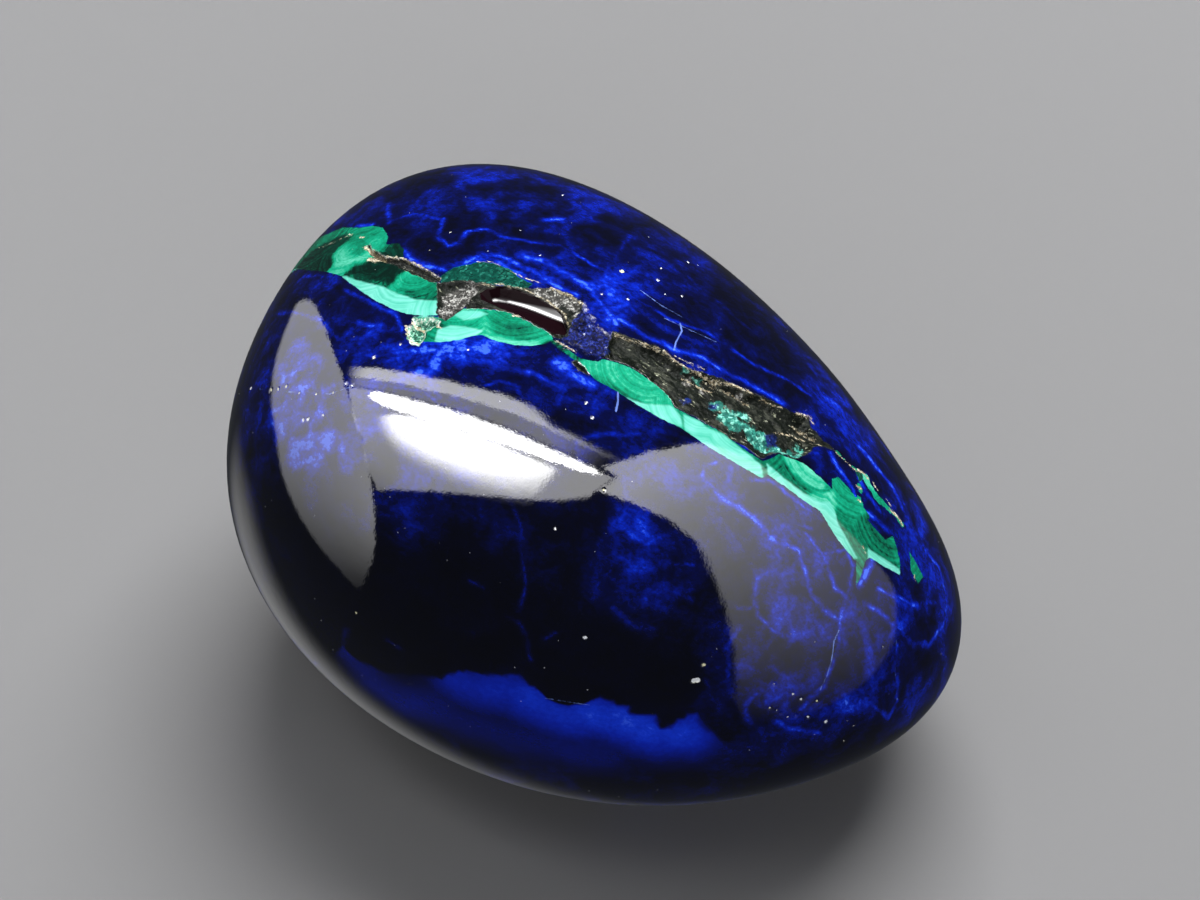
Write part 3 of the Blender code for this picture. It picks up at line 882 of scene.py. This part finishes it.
class Nodes:
    """Builds a shader's nodes; an input is given as a plain value or as another node's output."""

    def __init__(self, tree):
        self.tree = tree
        self.shader = tree.nodes.get("Principled BSDF")

    def feed(self, socket, value):
        if isinstance(value, bpy.types.NodeSocket):
            self.tree.links.new(value, socket)
        elif hasattr(value, "__len__") and len(value) == 3 and len(socket.default_value) == 4:
            socket.default_value = (*value, 1.0)
        else:
            socket.default_value = value

    def add(self, kind, output, inputs, **settings):
        node = self.tree.nodes.new(kind)
        for name, value in settings.items():
            setattr(node, name, value)
        for name, value in inputs.items():
            self.feed(node.inputs[name], value)
        return node.outputs[output]

    def mark(self, name):
        return self.add("ShaderNodeAttribute", "Fac", {}, attribute_name=name)

    def math(self, operation, *values):
        return self.add("ShaderNodeMath", 0, dict(enumerate(values)), operation=operation)

    def plus(self, a, b):
        return self.math("ADD", a, b)

    def times(self, a, b):
        return self.math("MULTIPLY", a, b)

    def swing(self, value, reach):
        """A noise's 0 to 1 as minus reach to reach."""
        return self.math("MULTIPLY_ADD", value, 2 * reach, -reach)

    def ease(self, value, low, high, to_low=0.0, to_high=1.0):
        return self.add(
            "ShaderNodeMapRange", 0,
            {"Value": value, "From Min": low, "From Max": high, "To Min": to_low, "To Max": to_high},
            interpolation_type="SMOOTHSTEP",
        )

    def noise(self, place, size, detail=3.0, roughness=0.55, distortion=0.0, output="Fac"):
        """A noise whose largest swells are size mm across."""
        return self.add(
            "ShaderNodeTexNoise", output,
            {"Vector": place, "Scale": 1.0 / size, "Detail": detail, "Roughness": roughness,
             "Distortion": distortion},
        )

    def cells(self, place, size, feature="F1", output="Distance", randomness=1.0):
        return self.add(
            "ShaderNodeTexVoronoi", output,
            {"Vector": place, "Scale": 1.0 / size, "Randomness": randomness}, feature=feature,
        )

    def vector(self, operation, a, b):
        return self.add("ShaderNodeVectorMath", 0, {0: a, 1: b}, operation=operation)

    def stretch(self, place, factors, turn=(0.0, 0.0, 0.0)):
        return self.add("ShaderNodeMapping", 0, {"Vector": place, "Scale": factors, "Rotation": turn})

    def blend(self, share, a, b):
        node = self.tree.nodes.new("ShaderNodeMix")
        node.data_type = "RGBA"
        self.feed(node.inputs[0], share)
        self.feed(node.inputs[6], a)
        self.feed(node.inputs[7], b)
        return node.outputs[2]

    def between(self, share, a, b):
        node = self.tree.nodes.new("ShaderNodeMix")
        for index, value in ((0, share), (2, a), (3, b)):
            self.feed(node.inputs[index], value)
        return node.outputs[0]

    def ramp(self, value, stops):
        node = self.tree.nodes.new("ShaderNodeValToRGB")
        elements = node.color_ramp.elements
        while len(elements) < len(stops):
            elements.new(0.5)
        for element, (place, colour) in zip(elements, stops):
            element.position = place
            element.color = (*colour, 1.0)
        self.feed(node.inputs[0], value)
        return node.outputs[0]


AZURITE_COLOURS = [
    (0.00, (0.0006, 0.0006, 0.0018)), (0.15, (0.0007, 0.0010, 0.0090)), (0.32, (0.0007, 0.0020, 0.0420)),
    (0.50, (0.0008, 0.0050, 0.1400)), (0.72, (0.0014, 0.0130, 0.3500)), (0.88, (0.0035, 0.0300, 0.5600)),
    (1.00, (0.0400, 0.1200, 0.8000)),
]
MALACHITE_COLOURS = [
    (0.00, (0.001, 0.012, 0.008)), (0.20, (0.001, 0.040, 0.024)), (0.45, (0.002, 0.175, 0.090)),
    (0.70, (0.006, 0.340, 0.190)), (1.00, (0.120, 0.580, 0.410)),
]
MINT_COLOURS = [(0.0, (0.040, 0.440, 0.290)), (0.5, (0.165, 0.620, 0.510)), (1.0, (0.300, 0.740, 0.650))]
GRANULE_COLOURS = [(0.0, (0.001, 0.010, 0.009)), (0.55, (0.003, 0.060, 0.042)), (1.0, (0.050, 0.380, 0.280))]
MATRIX_COLOURS = [(0.0, (0.002, 0.003, 0.002)), (0.6, (0.006, 0.008, 0.006)), (1.0, (0.060, 0.064, 0.050))]
# The crumbling matrix's colours; their palest stop is a painted glitter.
GRIT_AND_GLITTER_COLOURS = [(0.0, (0.008, 0.008, 0.008)), (0.40, (0.070, 0.068, 0.062)), (0.8, (0.560, 0.560, 0.530))]
# The cream edges' colours, also used for the painted highlight along the scoop's far rim.
CREAM_AND_HIGHLIGHT_COLOURS = [(0.0, (0.080, 0.055, 0.028)), (0.6, (0.440, 0.370, 0.240)), (1.0, (0.900, 0.860, 0.720))]
TEAL_COLOURS = [(0.0, (0.004, 0.045, 0.040)), (0.42, (0.028, 0.240, 0.185)), (0.82, (0.300, 0.760, 0.620))]
# The blue crystals' colours; their palest stop is a painted glint.
BLUE_CRYSTAL_AND_GLINT_COLOURS = [(0.0, (0.002, 0.003, 0.020)), (0.7, (0.008, 0.025, 0.180)), (1.0, (0.300, 0.420, 0.900))]
# The sugary place's colours: dark blue crumbs, and pale painted sparkles as the palest stop.
SUGARY_AND_SPARKLE_COLOURS = [
    (0.0, (0.001, 0.001, 0.006)), (0.30, (0.002, 0.004, 0.046)), (0.54, (0.005, 0.016, 0.190)),
    (0.78, (0.050, 0.070, 0.230)), (0.90, (0.600, 0.620, 0.700)),
]
PIT_COLOURS = [
    (0.0, (0.003, 0.020, 0.014)), (0.30, (0.012, 0.110, 0.066)), (0.60, (0.150, 0.450, 0.310)),
    (0.85, (0.780, 0.860, 0.760)),
]
GOLD = (0.560, 0.540, 0.330)
SCOOP_COLOUR = (0.008, 0.0025, 0.004)
SLIVER_COLOURS = [(0.0, (0.020, 0.030, 0.022)), (0.5, (0.180, 0.190, 0.130)), (1.0, (0.600, 0.620, 0.480))]
SPECK_COLOUR = (0.620, 0.640, 0.680)
HAIRLINE_COLOUR = (0.160, 0.260, 0.720)
REFRACTION = 1.65
AZURITE_POLISH, MALACHITE_POLISH, SCOOP_POLISH, CRUMB_POLISH = 0.035, 0.060, 0.06, 0.55  # roughnesses
FULL_SHINE, ROUGH_SHINE, SCOOP_DULL = 0.5, 0.06, 0.02  # specular levels
ALONG_SEAM = (0.0, 0.0, -0.33)  # turns the fissure's own direction onto x


def contrast(n, value, spread):
    """A noise's middle drawn out to 0 to 1."""
    return n.ease(value, 0.5 - spread, 0.5 + spread)


def bent_about(n, place, size, reach):
    """The place moved about by up to reach mm, in swells of size mm."""
    shift = n.vector("SUBTRACT", n.noise(place, size, 2.0, output="Color"), (0.5, 0.5, 0.5))
    return n.vector("ADD", place, n.add("ShaderNodeVectorMath", 0, {0: shift, "Scale": 2 * reach},
                                        operation="SCALE"))


def unseen_blue(n, place, bent):
    """How blue the side is that no photograph shows: clouds, bright walls of cells and growth arcs."""
    clouds = n.ease(n.noise(place, 9.0, 3.0, 0.6), 0.34, 0.70, 0.05, 0.42)
    patchy = contrast(n, n.noise(place, 6.0, 3.0), 0.10)
    walls = n.ease(n.cells(bent, 5.2, "DISTANCE_TO_EDGE"), 0.0, 0.045, 1.0, 0.0)
    arcs = n.ease(n.math("FRACT", n.times(n.cells(bent, 4.6), 2.1)), 0.55, 1.0)
    return n.plus(clouds, n.times(patchy, n.math("MAXIMUM", n.times(walls, 0.55), n.times(arcs, 0.36))))


def azurite_colour(n, place):
    """Blue that runs from near-black to bright growth lines, mottled, with a fine velvety grain."""
    bent = bent_about(n, place, 3.0, 1.0)
    level = n.between(n.mark("unseen"), n.mark("blue"), unseen_blue(n, place, bent))
    patches = contrast(n, n.noise(bent, 2.6, 3.0, 0.50), 0.14)
    mottle = contrast(n, n.noise(bent, 1.0, 4.0, 0.54), 0.20)
    grain = contrast(n, n.noise(n.stretch(place, (0.7, 1.0, 1.0), ALONG_SEAM), 0.22, 3.0, 0.70), 0.26)
    level = n.times(level, n.math("MULTIPLY_ADD", patches, 0.80, 0.50))
    level = n.times(level, n.math("MULTIPLY_ADD", mottle, 0.64, 0.66))
    line = n.times(n.times(n.mark("line"), n.math("MULTIPLY_ADD", mottle, 0.40, 0.78)),
                   n.math("SUBTRACT", 1.0, n.mark("unseen")))
    level = n.math("SMOOTH_MAX", level, line, 0.12)
    level = n.times(level, n.math("MULTIPLY_ADD", grain, 0.54, 0.71))
    cloud = n.times(n.times(n.mark("cloud"), n.math("MULTIPLY_ADD", grain, 0.12, 0.91)),
                    n.math("MULTIPLY_ADD", patches, 0.14, 0.93))
    return n.ramp(n.math("MAXIMUM", level, cloud), AZURITE_COLOURS)


def malachite_colour(n, place):
    """Green in bands that grew out from centres, darker and lighter by place, with a mint edge."""
    ring = n.plus(n.mark("ring"), n.swing(n.noise(place, 0.8, 2.0), 0.10))
    bands = n.add("ShaderNodeTexNoise", "Fac", {"W": n.times(ring, 3.4), "Scale": 1.0, "Detail": 3.0,
                                                "Roughness": 0.60}, noise_dimensions="1D")
    bands = contrast(n, bands, 0.24)
    fibres = contrast(n, n.noise(place, 0.20, 3.0, 0.6), 0.24)
    shade = n.plus(n.plus(n.mark("green"), n.swing(bands, 0.13)), n.swing(fibres, 0.09))
    green = n.ramp(shade, MALACHITE_COLOURS)
    edge = n.plus(n.mark("mint"), n.swing(n.noise(place, 0.35, 2.0), 0.05))
    mint = n.ramp(n.plus(n.math("MULTIPLY_ADD", bands, 0.42, 0.16), n.swing(n.noise(place, 0.9, 3.0), 0.35)),
                  MINT_COLOURS)
    green = n.blend(n.ease(edge, -0.09, 0.06), green, mint)
    grains = n.ramp(n.plus(n.times(n.cells(place, 0.13, output="Color"), 0.55),
                           n.times(n.noise(place, 0.4, 4.0, 0.7), 0.42)), GRANULE_COLOURS)
    return n.blend(n.ease(n.mark("granular"), -0.04, 0.04), green, grains)


def fissure_colour(n, place):
    """Dark drawn-out matrix with pale slivers, crumbling in places with painted glitter, with teal crystals
    and with blue crystals whose palest colour is a painted glint.
    """
    drawn_out = n.stretch(place, (0.30, 1.3, 1.3), ALONG_SEAM)
    colour = n.ramp(contrast(n, n.noise(drawn_out, 0.50, 5.0, 0.72), 0.26), MATRIX_COLOURS)
    threads = n.stretch(bent_about(n, place, 1.0, 0.15), (0.16, 1.6, 1.6), ALONG_SEAM)
    slivers = n.noise(threads, 0.24, 3.0, 0.6)
    broken = n.noise(place, 0.5, 3.0, 0.6)
    there = n.times(n.ease(slivers, 0.60, 0.66), n.ease(broken, 0.44, 0.54))
    colour = n.blend(there, colour, n.ramp(n.cells(place, 0.12, output="Color"), SLIVER_COLOURS))
    # Grit with painted glitter, teal crystals, and blue crystals with painted glints.
    sites = (
        ("grit", GRIT_AND_GLITTER_COLOURS, 0.08, 0.35), ("teal", TEAL_COLOURS, 0.14, 0.5),
        ("blue_crystal_and_glint", BLUE_CRYSTAL_AND_GLINT_COLOURS, 0.10, 0.5),
    )
    for name, colours, size, ragged in sites:
        clods = n.ease(n.noise(place, 0.3, 3.0), 0.3, 0.6, 0.35, 1.0)
        crystals = n.times(n.cells(place, size, output="Color"), clods)
        there = n.plus(n.mark(name), n.swing(n.noise(place, 0.4, 3.0, 0.65), ragged))
        colour = n.blend(n.ease(there, 0.0, 0.18), colour, n.ramp(crystals, colours))
    return colour


class Places:
    """Where the stone's kinds of surface are: each is 1 within it, 0 outside, and soft or broken between."""

    def __init__(self, n, place):
        self.n = n
        self.ragged = n.swing(n.noise(place, 0.30, 3.0, 0.6), 0.07)
        self.green = n.math("MAXIMUM", self.within("malachite"), self.within("granular", 0.04))

    def within(self, name, soft=0.02):
        return self.n.ease(self.n.plus(self.n.mark(name), self.ragged), -soft, soft)


def open_places(n, place, there, colour):
    """Lays the crystals beside the scoop with their painted sparkles, the pit, the fissures, the scoop, and
    the cream edges with their painted highlight over a colour.
    """
    crumbs = n.cells(place, 0.09, output="Color")
    clods = n.ease(n.noise(place, 0.28, 4.0, 0.7), 0.30, 0.64)
    # The sugary place's palest crumbs are painted sparkles.
    sugary_edge = n.plus(n.mark("sugary"), n.swing(n.noise(place, 0.7, 4.0, 0.65), 0.75))
    there.sugary = n.ease(sugary_edge, -0.05, 0.50)
    colour = n.blend(there.sugary, colour, n.ramp(n.times(crumbs, clods), SUGARY_AND_SPARKLE_COLOURS))
    there.pit = there.within("pit", 0.05)
    rim = n.ease(n.plus(n.mark("pit"), n.swing(n.noise(place, 0.3, 3.0), 0.25)), 0.05, 0.30, 0.45, 0.0)
    colour = n.blend(there.pit, colour, n.ramp(n.plus(n.times(crumbs, clods), rim), PIT_COLOURS))
    there.open = there.within("fissure", 0.03)
    colour = n.blend(there.open, colour, fissure_colour(n, place))
    there.scoop = n.ease(n.mark("scoop"), -0.02, 0.02)
    colour = n.blend(there.scoop, colour, SCOOP_COLOUR)
    splinters = n.noise(n.stretch(place, (0.30, 1.3, 1.3), ALONG_SEAM), 0.14, 5.0, 0.80)
    # Crumbly cream edges, and the painted highlight along the scoop's far rim, are laid over the colour here.
    crumbly_edge_and_highlight = n.plus(n.mark("cream"), n.swing(splinters, 0.34))
    there.cream = n.ease(crumbly_edge_and_highlight, 0.0, 0.03)
    return n.blend(there.cream, colour, n.ramp(crumbs, CREAM_AND_HIGHLIGHT_COLOURS))


def specks_and_dust(n, place, there, colour):
    """Lays the pale specks and the finest dust over a colour."""
    there.speck = n.ease(n.plus(n.mark("speck"), n.swing(n.noise(place, 0.12, 2.0), 0.07)), -0.02, 0.02)
    pale = n.blend(contrast(n, n.noise(place, 2.0, 2.0), 0.06), SPECK_COLOUR, GOLD)
    colour = n.blend(there.speck, colour, pale)
    grains = n.ease(n.cells(place, 0.9), 0.030, 0.045, 1.0, 0.0)
    dust = n.times(grains, n.ease(n.noise(place, 3.0, 2.0), 0.46, 0.54))
    return n.blend(n.times(dust, 0.45), colour, SPECK_COLOUR)


def stone_colour(n, place, there):
    """Azurite with the malachite, the hairlines, the open places and the specks laid over it."""
    colour = n.blend(there.green, azurite_colour(n, place), malachite_colour(n, place))
    hair = n.ease(n.plus(n.mark("hairline"), n.swing(n.noise(place, 0.25, 2.0), 0.03)), -0.02, 0.015)
    colour = n.blend(n.times(hair, 0.75), colour, HAIRLINE_COLOUR)
    colour = open_places(n, place, there, colour)
    return specks_and_dust(n, place, there, colour)


def feed_polish(n, place, there):
    """Sets how rough and how shiny each place is: the scoop mirrors light along its bright line alone."""
    there.rough = n.times(n.math("MAXIMUM", n.math("MAXIMUM", there.open, there.pit), there.sugary),
                          n.math("SUBTRACT", 1.0, there.scoop))
    roughness = n.between(there.green, AZURITE_POLISH, MALACHITE_POLISH)
    roughness = n.between(there.rough, roughness, n.ease(n.noise(place, 0.6, 3.0), 0.35, 0.65, 0.22, 0.55))
    roughness = n.between(there.scoop, roughness, SCOOP_POLISH)
    roughness = n.between(n.math("MAXIMUM", there.cream, there.speck), roughness, CRUMB_POLISH)
    n.feed(n.shader.inputs["Roughness"], roughness)
    n.shader.inputs["IOR"].default_value = REFRACTION
    shine = n.ease(n.mark("shine"), -0.05, 0.10, SCOOP_DULL, FULL_SHINE)
    level = n.between(there.scoop, n.between(there.rough, FULL_SHINE, ROUGH_SHINE), shine)
    n.feed(n.shader.inputs["Specular IOR Level"], level)


def feed_bump(n, place, there):
    """Sets the finest relief: hardly any on the polish, and more in the rough places."""
    polish = n.times(n.noise(place, 0.9, 3.0, 0.5), 0.005)  # the polish follows the grain a little
    scratch = n.times(n.noise(place, 0.12, 2.0, 0.5), 0.0010)
    rock = n.times(n.times(n.noise(place, 0.18, 4.0, 0.7), 0.07), there.rough)
    height = n.plus(n.plus(polish, scratch), rock)
    bump = n.add("ShaderNodeBump", 0, {"Strength": 1.0, "Distance": MM, "Height": height})
    n.feed(n.shader.inputs["Normal"], bump)


def stone_material():
    """One material for the whole stone, laid out by what each place is inside."""
    material = bpy.data.materials.new("polished_azurite")
    material.use_nodes = True
    n = Nodes(material.node_tree)
    place = n.add("ShaderNodeVectorMath", 0, {0: n.add("ShaderNodeTexCoord", "Object", {}), "Scale": 1 / MM},
                  operation="SCALE")
    there = Places(n, place)
    n.feed(n.shader.inputs["Base Color"], stone_colour(n, place, there))
    feed_polish(n, place, there)
    feed_bump(n, place, there)
    return material


# ---------------------------------------------------------------- floor, light and camera

FLOOR_SIZE = 3.0
FLOOR_COLOUR = (0.17, 0.17, 0.173)
FLOOR_ROUGHNESS, FLOOR_SHINE = 0.75, 0.2
WORLD_COLOUR = (0.60, 0.65, 0.72)
WORLD_STRENGTH = 0.07
# The softboxes. Each has the place of its middle in metres from the stone's middle, the way it faces, its
# size, its turn about its own axis in degrees, its radiance, how much of that is left at its foot (or its
# front edge) and how far up from there it fades, and how much of its edges is feathered. Those that the
# stone mirrors are shaped and placed so that their reflections fall where the photograph's do, and don't
# light it; the others only light it.
MIRRORED = {
    "left_octabox": ((-0.48, -0.32, -0.07), "right", "ELLIPSE", (0.98, 0.84), 0, 2.6, (0.0, 1.15), 0.0),
    "right_window": ((0.45, 0.13, 0.78), "left", "RECTANGLE", (0.98, 2.06), 0, 4.8, (0.0, 0.72), 0.0),
    "strip": ((-0.235, -0.060, 0.469), "down", "ELLIPSE", (0.72, 0.100), 2, 24.0, (1.0, 1.0), 0.0),
    "highlight": ((-0.20, -0.13, 0.470), "down", "ELLIPSE", (0.70, 0.58), 3, 26.0, (0.0, 0.62), 0.70),
    "ceiling": ((-0.525, -0.60, 0.471), "down", "RECTANGLE", (1.35, 1.11), 0, 4.2, (0.4, 1.0), 0.0),
    "ceiling_dim": ((-0.355, -0.014, 0.472), "down", "RECTANGLE", (0.97, 0.060), 0, 2.6, (1.0, 1.0), 0.15),
    "ceiling_edge": ((-0.355, 0.030, 0.473), "down", "RECTANGLE", (1.05, 0.056), 0, 6.6, (1.0, 1.0), 0.22),
    "floor_glow": ((-0.10, 0.00, -0.100), "up", "RECTANGLE", (0.22, 0.09), 0, 0.42, (1.0, 1.0), 0.45),
}
# A mirrored softbox may be cut to a shape by lines, each so many metres from its middle in a direction in
# degrees. It shines where every group of lines has one line that the place is on the near side of.
CUTS = {
    "left_octabox": [[(-90.0, -0.025), (-120.6, 0.093)]],
    "right_window": [
        [(180.0, 0.242), (157.7, 0.121), (-163.5, 0.263)], [(180.0, 0.220), (90.0, 0.620)],
        [(-8.9, 0.336)], [(-67.9, 0.765)], [(41.0, 0.516)], [(27.1, 0.413)],
    ],
    "strip": [[(88.0, 0.008)]],
    "highlight": [[(90.0, 0.014)], [(105.0, 0.062)], [(0.0, 0.252)]],
    "ceiling": [[(-51.0, 0.105)], [(-32.0, 0.335)], [(-154.5, 0.004), (173.9, 0.145)]],
    "ceiling_edge": [[(67.5, 0.121), (90.0, -0.012)]],
}
CUT_EDGE = 0.012  # half the width in metres over which a cut edge fades
UNMIRRORED = {
    "key": ((-0.08, 0.34, 0.48), "stone", "RECTANGLE", (0.50, 0.40), 0, 15.0, (1.0, 1.0), 0.0),
    "front_fill": ((0.34, -0.48, 0.16), "stone", "RECTANGLE", (0.60, 0.25), 0, 5.0, (1.0, 1.0), 0.0),
}
FACINGS = {"down": (0, 0, 0), "up": (180, 0, 0), "left": (90, 0, 90), "right": (90, 0, -90)}


def floor():
    mesh = bpy.data.meshes.new("floor")
    sheet = bmesh.new()
    bmesh.ops.create_grid(sheet, x_segments=1, y_segments=1, size=FLOOR_SIZE / 2)
    sheet.to_mesh(mesh)
    sheet.free()
    plane = bpy.data.objects.new("floor", mesh)
    material = bpy.data.materials.new("pale_floor")
    material.use_nodes = True
    shader = material.node_tree.nodes["Principled BSDF"]
    shader.inputs["Base Color"].default_value = (*FLOOR_COLOUR, 1.0)
    shader.inputs["Roughness"].default_value = FLOOR_ROUGHNESS
    shader.inputs["Specular IOR Level"].default_value = FLOOR_SHINE
    mesh.materials.append(material)
    bpy.context.scene.collection.objects.link(plane)
    plane.visible_glossy = False  # the stone mirrors a dark room under its softboxes
    return plane


def softbox(name, middle, place, faces, shape, size, turn, radiance, fade, feather):
    light = bpy.data.lights.new(name, "AREA")
    light.shape = shape
    light.size, light.size_y = size
    light.energy = radiance * math.pi * light.size * light.size_y
    light.use_nodes = True
    n = Nodes(light.node_tree)
    strength = softly_lit(n, shape, size, fade, feather, CUTS.get(name, ()))
    n.feed(n.tree.nodes["Emission"].inputs["Strength"], strength)
    lamp = bpy.data.objects.new(name, light)
    if faces == "stone":
        facing = Vector(place).to_track_quat("Z", "Y").to_matrix()
    else:
        facing = Euler([math.radians(angle) for angle in FACINGS[faces]]).to_matrix()
    turn = Matrix.Rotation(math.radians(turn), 3, "Z")
    lamp.matrix_world = Matrix.Translation(middle + Vector(place)) @ (facing @ turn).to_4x4()
    bpy.context.scene.collection.objects.link(lamp)
    return lamp


def softly_lit(n, shape, size, fade, feather, cuts):
    """A softbox's brightness over its face: fading to its foot, feathered at its edges, and cut."""
    place = n.add("ShaderNodeNewGeometry", "Parametric", {})
    across = n.add("ShaderNodeSeparateXYZ", 0, {0: place}).node.outputs
    foot, height = fade
    strength = n.ease(across[1], 0.0, height, foot, 1.0)
    if feather and shape == "ELLIPSE":
        out = n.add("ShaderNodeVectorMath", "Value", {0: place, 1: (0.5, 0.5, 0.0)}, operation="DISTANCE")
        strength = n.times(strength, n.ease(out, 0.5 * (1 - feather), 0.5, 1.0, 0.0))
    elif feather:
        for side in across[:2]:
            edge = n.math("MINIMUM", side, n.math("SUBTRACT", 1.0, side))
            strength = n.times(strength, n.ease(edge, 0.0, feather))
    for group in cuts:
        near = 0.0
        for line in group:
            near = n.math("MAXIMUM", near, on_near_side(n, place, size, *line))
        strength = n.times(strength, near)
    return strength


def on_near_side(n, place, size, angle, far):
    """1 on the near side of a line across a softbox's face, and 0 beyond it."""
    normal = (math.cos(math.radians(angle)) * size[0], math.sin(math.radians(angle)) * size[1], 0.0)
    line = (normal[0] + normal[1]) / 2 + far
    gap = n.add("ShaderNodeVectorMath", "Value", {0: place, 1: normal}, operation="DOT_PRODUCT")
    return n.ease(gap, line - CUT_EDGE, line + CUT_EDGE, 1.0, 0.0)


def studio_light(middle):
    for name, box in MIRRORED.items():
        softbox(name, middle, *box).visible_diffuse = False
    for name, box in UNMIRRORED.items():
        softbox(name, middle, *box).visible_glossy = False


def world():
    sky = bpy.data.worlds.new("studio")
    sky.use_nodes = True
    background = sky.node_tree.nodes["Background"]
    background.inputs["Color"].default_value = (*WORLD_COLOUR, 1.0)
    background.inputs["Strength"].default_value = WORLD_STRENGTH
    bpy.context.scene.world = sky
    bpy.context.scene.view_settings.view_transform = "Standard"


def camera(view):
    lens = bpy.data.cameras.new("camera")
    lens.sensor_width = SENSOR
    lens.lens = PIXELS_PER_MM * VIEW_DISTANCE / FRAME_WIDTH * SENSOR
    lens.clip_start, lens.clip_end = 0.01, 10.0
    eye = bpy.data.objects.new("camera", lens)
    turn = Matrix((view.right, view.up, view.back)).transposed().to_4x4()
    eye.matrix_world = Matrix.Translation(Vector(view.eye * MM)) @ turn
    bpy.context.scene.collection.objects.link(eye)
    bpy.context.scene.camera = eye


def dress(stone_node):
    """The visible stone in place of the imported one, on its floor, lit and in the photograph's view."""
    form = PolishedForm(stone_node)
    view = PhotoView(form)
    piece = stone(form, Layout(form, view))
    piece.data.materials.append(stone_material())
    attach(piece, "root")
    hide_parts(NODE)
    floor()
    studio_light(Vector(form.heart * MM))
    world()
    camera(view)


dress(frame["nodes"][NODE])
